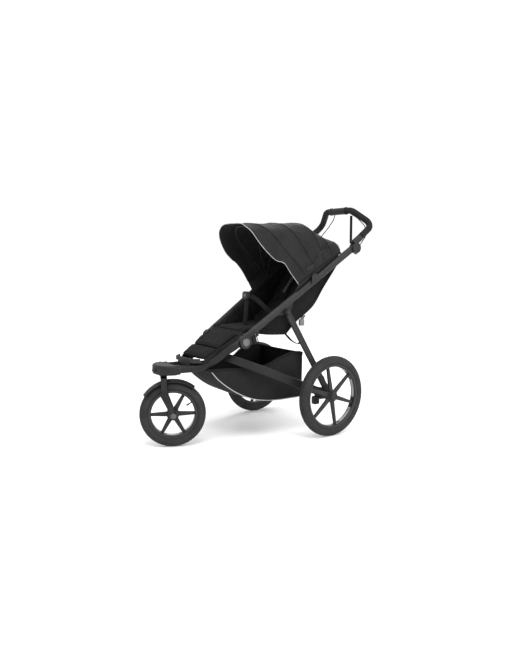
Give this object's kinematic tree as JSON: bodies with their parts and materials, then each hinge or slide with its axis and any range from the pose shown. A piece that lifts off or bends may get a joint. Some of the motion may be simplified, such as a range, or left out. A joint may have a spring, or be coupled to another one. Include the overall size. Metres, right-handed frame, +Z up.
{
  "type": "jogging stroller",
  "caption": "Folding jogging stroller with a swivelling front wheel, two large rear wheels, a canopy, a padded seat, a basket and an adjustable loop handle.",
  "frame": {"origin": "on the floor, at the centre of the bounding box's footprint", "axes": "+Z up, -Y the way the stroller faces, +X its left side"},
  "size_m": [0.692, 1.2569, 1.1535],
  "materials": {
    "frame_paint": "satin, fine metallic charcoal",
    "black_plastic": "moulded, fine grain",
    "grey_plastic": "moulded, satin",
    "rim_plastic": "moulded, semi-gloss charcoal",
    "tyre_rubber": "treaded rubber",
    "steel": "zinc plated",
    "foam": "closed-cell foam",
    "cable_sleeve": "extruded",
    "canopy_fabric": "coated plain weave",
    "seat_fabric": "padded woven polyester",
    "mesh_fabric": "knitted mesh",
    "webbing": "woven webbing",
    "grey_webbing": "woven webbing",
    "reflective": "reflective tape",
    "valve_metal": "machined"
  },
  "bodies": {
    "upper_frame": {"side_rail_left": "frame_paint", "side_rail_right": "frame_paint", "fold_cheeks": "black_plastic", "fold_caps": "grey_plastic", "fold_crossbar": "steel", "top_crossbar": "frame_paint", "fold_hook": "black_plastic", "leg_brackets": "black_plastic", "rail_ends": "black_plastic", "seat_base": "seat_fabric", "seat_wings": "seat_fabric", "crotch_pad": "webbing", "harness_buckle": "black_plastic", "hip_straps": "webbing", "fold_strap": "webbing", "recline_buckle": "grey_plastic", "canopy": "canopy_fabric", "canopy_rear_bow": "black_plastic", "canopy_clips": "black_plastic"},
    "front_frame": {"nose": "black_plastic", "front_tube_left": "frame_paint", "front_tube_right": "frame_paint", "fold_tongues": "frame_paint", "footrest": "black_plastic", "leg_pad": "seat_fabric", "leg_flap": "seat_fabric"},
    "rear_legs": {"rear_leg_left": "frame_paint", "rear_leg_right": "frame_paint", "axle_housings": "black_plastic", "axle_tube": "frame_paint", "brake_housings": "black_plastic", "leg_cables": "cable_sleeve"},
    "lower_struts": {"lower_strut_left": "frame_paint", "lower_strut_right": "frame_paint", "basket": "mesh_fabric"},
    "fork": {"fork": "frame_paint", "fender": "black_plastic", "front_axle": "steel"},
    "front_wheel": {"front_tyre": "tyre_rubber", "front_rim": "rim_plastic", "front_valve": "valve_metal"},
    "rear_wheel_left": {"rear_tyre_left": "tyre_rubber", "rear_rim_left": "rim_plastic"},
    "rear_wheel_right": {"rear_tyre_right": "tyre_rubber", "rear_rim_right": "rim_plastic"},
    "swivel_lock": {"swivel_lock_knob": "black_plastic"},
    "handlebar": {"handle_tube": "frame_paint", "handle_foam": "foam", "handle_hubs": "black_plastic", "handle_cables": "cable_sleeve", "wrist_strap": "webbing"},
    "brake_grip": {"brake_grip": "black_plastic"},
    "hub_button_left": {"hub_button_left": "grey_plastic"},
    "hub_button_right": {"hub_button_right": "grey_plastic"},
    "buckle_button": {"buckle_button": "grey_plastic"},
    "backrest": {"backrest": "seat_fabric", "shoulder_straps": "webbing"},
    "canopy_front_bow": {"canopy_front_bow": "black_plastic"},
    "canopy_middle_bow": {"canopy_middle_bow": "black_plastic"}
  },
  "joints": [
    {"name": "frame_fold", "type": "hinge", "parent": "upper_frame", "child": "front_frame", "pos_m": [0, -0.1764, 0.483], "axis": [1, 0, 0], "range_deg": [0, 90], "deforming": ["basket"]},
    {"name": "rear_leg_fold", "type": "hinge", "parent": "upper_frame", "child": "rear_legs", "pos_m": [0, 0.0616, 0.614], "axis": [1, 0, 0], "range_deg": [0, 35]},
    {"name": "strut_fold", "type": "hinge", "parent": "rear_legs", "child": "lower_struts", "pos_m": [0, 0.2336, 0.2], "axis": [1, 0, 0], "range_deg": [-13, 0]},
    {"name": "fork_swivel", "type": "hinge", "parent": "front_frame", "child": "fork", "pos_m": [0, -0.5224, 0.34], "axis": [0, 0, 1], "continuous": true},
    {"name": "front_wheel_spin", "type": "hinge", "parent": "fork", "child": "front_wheel", "pos_m": [0.01753, -0.48645, 0.155], "axis": [0.8988, -0.4384, 0], "continuous": true},
    {"name": "rear_wheel_spin_left", "type": "hinge", "parent": "rear_legs", "child": "rear_wheel_left", "pos_m": [0.322, 0.2336, 0.2], "axis": [1, 0, 0], "continuous": true},
    {"name": "rear_wheel_spin_right", "type": "hinge", "parent": "rear_legs", "child": "rear_wheel_right", "pos_m": [-0.322, 0.2336, 0.2], "axis": [1, 0, 0], "continuous": true},
    {"name": "swivel_lock_turn", "type": "hinge", "parent": "front_frame", "child": "swivel_lock", "pos_m": [0, -0.5684, 0.367], "axis": [0, -1, 0], "range_deg": [0, 90]},
    {"name": "handle_height", "type": "hinge", "parent": "upper_frame", "child": "handlebar", "pos_m": [0, 0.4866, 0.931], "axis": [1, 0, 0], "range_deg": [-25, 30]},
    {"name": "brake_twist", "type": "hinge", "parent": "handlebar", "child": "brake_grip", "pos_m": [0, 0.5696, 1.133], "axis": [1, 0, 0], "range_deg": [0, 40]},
    {"name": "hub_press_left", "type": "slide", "parent": "handlebar", "child": "hub_button_left", "axis": [0, 0, 1], "range_m": [0, 0.003], "stiffness_N_per_m": 300, "springref_m": -0.002},
    {"name": "hub_press_right", "type": "slide", "parent": "handlebar", "child": "hub_button_right", "axis": [0, 0, 1], "range_m": [0, 0.003], "stiffness_N_per_m": 300, "springref_m": -0.002},
    {"name": "buckle_press", "type": "slide", "parent": "upper_frame", "child": "buckle_button", "axis": [0, 0.995, -0.0995], "range_m": [0, 0.003], "stiffness_N_per_m": 300, "springref_m": -0.002},
    {"name": "backrest_recline", "type": "hinge", "parent": "upper_frame", "child": "backrest", "pos_m": [0, 0.1416, 0.56], "axis": [1, 0, 0], "range_deg": [-28, 0]},
    {"name": "canopy_open", "type": "hinge", "parent": "upper_frame", "child": "canopy_front_bow", "pos_m": [0, 0.2136, 0.79], "axis": [1, 0, 0], "range_deg": [-40, 0], "deforming": ["canopy"]},
    {"name": "canopy_middle", "type": "hinge", "parent": "upper_frame", "child": "canopy_middle_bow", "pos_m": [0, 0.2136, 0.79], "axis": [1, 0, 0], "range_deg": [-20, 0]}
  ],
  "couplings": [
    {"joint": "rear_leg_fold", "follows": "frame_fold", "ratio": 0.38},
    {"joint": "strut_fold", "follows": "frame_fold", "ratio": -0.14},
    {"joint": "canopy_middle", "follows": "canopy_open", "ratio": 0.5}
  ]
}
